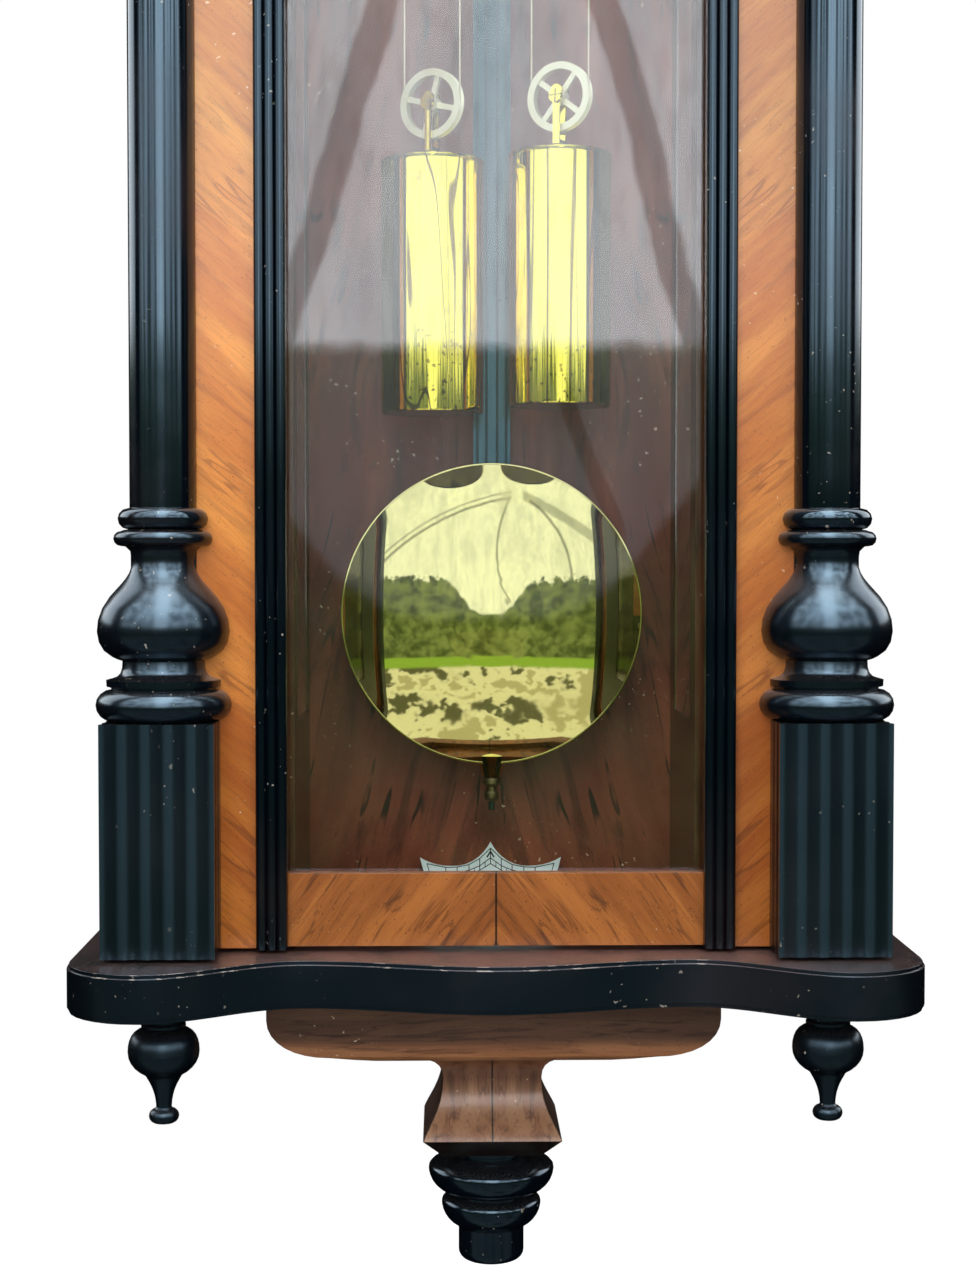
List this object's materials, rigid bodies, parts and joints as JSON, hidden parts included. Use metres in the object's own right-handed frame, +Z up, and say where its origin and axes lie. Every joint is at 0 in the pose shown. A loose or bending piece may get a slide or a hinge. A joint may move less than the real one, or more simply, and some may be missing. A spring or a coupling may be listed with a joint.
{
  "type": "vienna regulator wall clock",
  "caption": "Weight-driven pendulum wall clock in a glazed wooden case with half columns, turned finials and a shaped base shelf.",
  "frame": {"origin": "centre of the hanger hole on the wall plane", "axes": "+Z up; +Y into the wall, the front faces -Y; +X to the viewer's right"},
  "size_m": [0.431, 0.216, 1.29],
  "materials": {
    "walnut": "polished walnut veneer",
    "ebonised_wood": "polished black stain",
    "glass": "clear",
    "brass": "polished, lightly aged",
    "iron": "blackened",
    "silvered": "silvered brass",
    "enamel": "white enamel",
    "blued_steel": "blued",
    "steel": "polished",
    "gut": "twisted gut line"
  },
  "bodies": {
    "case": {"backboard": "walnut", "hanger_plate": "iron", "case_side_left": "walnut", "case_side_right": "walnut", "side_glasses": "glass", "roof_board": "walnut", "base_shelf": "ebonised_wood", "bracket_moulding": "walnut", "bracket_neck": "walnut", "bottom_finial": "ebonised_wood", "drop_finials": "ebonised_wood", "frieze": "walnut", "cornice": "ebonised_wood", "crest_plinth": "ebonised_wood", "crest_panel": "walnut", "crest_finials": "ebonised_wood", "beat_scale": "silvered", "movement_bracket": "iron", "back_plate": "brass", "front_plate": "brass", "dial": "enamel", "dial_bezel": "brass", "gong": "blued_steel", "gong_stand": "iron", "case_brasses": "brass", "line_left": "gut", "line_right": "gut"},
    "door": {"door_stiles": "walnut", "door_bottom_rail": "walnut", "door_top_rail": "walnut", "glazing_mouldings": "ebonised_wood", "door_glass": "glass", "pedestals": "ebonised_wood", "column_left": "ebonised_wood", "column_right": "ebonised_wood", "head_blocks": "ebonised_wood", "door_brasses": "brass"},
    "latch": {"latch_hook": "brass"},
    "pendulum": {"suspension_spring": "steel", "pendulum_rod": "ebonised_wood", "bob": "brass"},
    "nut": {"rating_nut": "brass"},
    "anchor": {"anchor": "steel"},
    "escape": {"escape_wheel": "brass"},
    "third": {"third_wheel": "brass"},
    "centre": {"centre_wheel": "brass", "minute_hand": "blued_steel"},
    "motion": {"minute_wheel": "brass"},
    "hour": {"hour_hand": "blued_steel"},
    "time_drum": {"time_drum": "brass", "time_great_wheel": "brass"},
    "strike_drum": {"strike_drum": "brass", "strike_great_wheel": "brass"},
    "strike_pins": {"strike_pin_wheel": "brass"},
    "fly": {"strike_fly": "brass"},
    "hammer": {"hammer": "steel"},
    "weight_left": {"weight_left": "brass"},
    "weight_right": {"weight_right": "brass"},
    "pulley_left": {"pulley_left": "brass"},
    "pulley_right": {"pulley_right": "brass"}
  },
  "joints": [
    {"name": "door_hinge", "type": "hinge", "parent": "case", "child": "door", "pos_m": [0.123, -0.129, -0.512], "axis": [0, 0, 1], "range_deg": [0, 90]},
    {"name": "latch_turn", "type": "hinge", "parent": "case", "child": "latch", "pos_m": [-0.1215, -0.104, -0.512], "axis": [-1, 0, 0], "range_deg": [0, 88]},
    {"name": "pendulum_swing", "type": "hinge", "parent": "case", "child": "pendulum", "pos_m": [0, -0.05, -0.146], "axis": [0, 1, 0], "range_deg": [-1.6, 1.6]},
    {"name": "anchor_swing", "type": "hinge", "parent": "case", "child": "anchor", "pos_m": [0, -0.08, -0.146], "axis": [0, 1, 0], "range_deg": [-1.65, 1.65]},
    {"name": "nut_turn", "type": "hinge", "parent": "pendulum", "child": "nut", "pos_m": [0, -0.05, -0.879], "axis": [0, 0, 1], "continuous": true},
    {"name": "centre_turn", "type": "hinge", "parent": "case", "child": "centre", "pos_m": [0, -0.08, -0.226], "axis": [0, 1, 0], "range_deg": [-27800, 41250]},
    {"name": "time_drum_turn", "type": "hinge", "parent": "case", "child": "time_drum", "pos_m": [0.034, -0.08, -0.24297], "axis": [0, 1, 0], "range_deg": [-2292, 1545]},
    {"name": "time_weight_fall", "type": "slide", "parent": "case", "child": "weight_right", "axis": [0, 0, 1], "range_m": [-0.27, 0.182], "deforming": ["line_right"]},
    {"name": "time_pulley_turn", "type": "hinge", "parent": "weight_right", "child": "pulley_right", "pos_m": [0.03522, -0.098, -0.505], "axis": [0.5, 0.866, 0], "range_deg": [-910.5, 614]},
    {"name": "motion_turn", "type": "hinge", "parent": "case", "child": "motion", "pos_m": [0, -0.106, -0.24], "axis": [0, 1, 0], "continuous": true},
    {"name": "hour_turn", "type": "hinge", "parent": "case", "child": "hour", "pos_m": [0, -0.115, -0.226], "axis": [0, 1, 0], "continuous": true},
    {"name": "third_turn", "type": "hinge", "parent": "case", "child": "third", "pos_m": [-0.00663, -0.08, -0.19502], "axis": [0, 1, 0], "continuous": true},
    {"name": "escape_turn", "type": "hinge", "parent": "case", "child": "escape", "pos_m": [0, -0.08, -0.17146], "axis": [0, 1, 0], "continuous": true},
    {"name": "strike_drum_turn", "type": "hinge", "parent": "case", "child": "strike_drum", "pos_m": [-0.034, -0.08, -0.24297], "axis": [0, -1, 0], "range_deg": [-1540, 2290]},
    {"name": "strike_weight_fall", "type": "slide", "parent": "case", "child": "weight_left", "axis": [0, 0, 1], "range_m": [-0.27, 0.182], "deforming": ["line_left"]},
    {"name": "strike_pulley_turn", "type": "hinge", "parent": "weight_left", "child": "pulley_left", "pos_m": [-0.03278, -0.098, -0.509], "axis": [0.5, 0.866, 0], "range_deg": [-910, 612]},
    {"name": "strike_pins_turn", "type": "hinge", "parent": "case", "child": "strike_pins", "pos_m": [-0.03, -0.08, -0.20418], "axis": [0, 1, 0], "continuous": true},
    {"name": "fly_turn", "type": "hinge", "parent": "case", "child": "fly", "pos_m": [-0.047, -0.08, -0.20418], "axis": [0, 1, 0], "continuous": true},
    {"name": "hammer_fall", "type": "hinge", "parent": "case", "child": "hammer", "pos_m": [-0.05, -0.056, -0.266], "axis": [0, 1, 0], "range_deg": [-1.5, 7]}
  ],
  "couplings": [
    {"joint": "anchor_swing", "follows": "pendulum_swing", "ratio": 1},
    {"joint": "time_drum_turn", "follows": "centre_turn", "ratio": -0.055556},
    {"joint": "time_weight_fall", "follows": "centre_turn", "m_per_rad": -0.000375},
    {"joint": "time_pulley_turn", "follows": "centre_turn", "ratio": -0.022059},
    {"joint": "motion_turn", "follows": "centre_turn", "ratio": -0.33333},
    {"joint": "hour_turn", "follows": "centre_turn", "ratio": 0.083333},
    {"joint": "third_turn", "follows": "centre_turn", "ratio": -10},
    {"joint": "escape_turn", "follows": "centre_turn", "ratio": 75},
    {"joint": "strike_weight_fall", "follows": "strike_drum_turn", "m_per_rad": -0.00675},
    {"joint": "strike_pulley_turn", "follows": "strike_drum_turn", "ratio": -0.39706},
    {"joint": "strike_pins_turn", "follows": "strike_drum_turn", "ratio": 12},
    {"joint": "fly_turn", "follows": "strike_drum_turn", "ratio": -90}
  ]
}
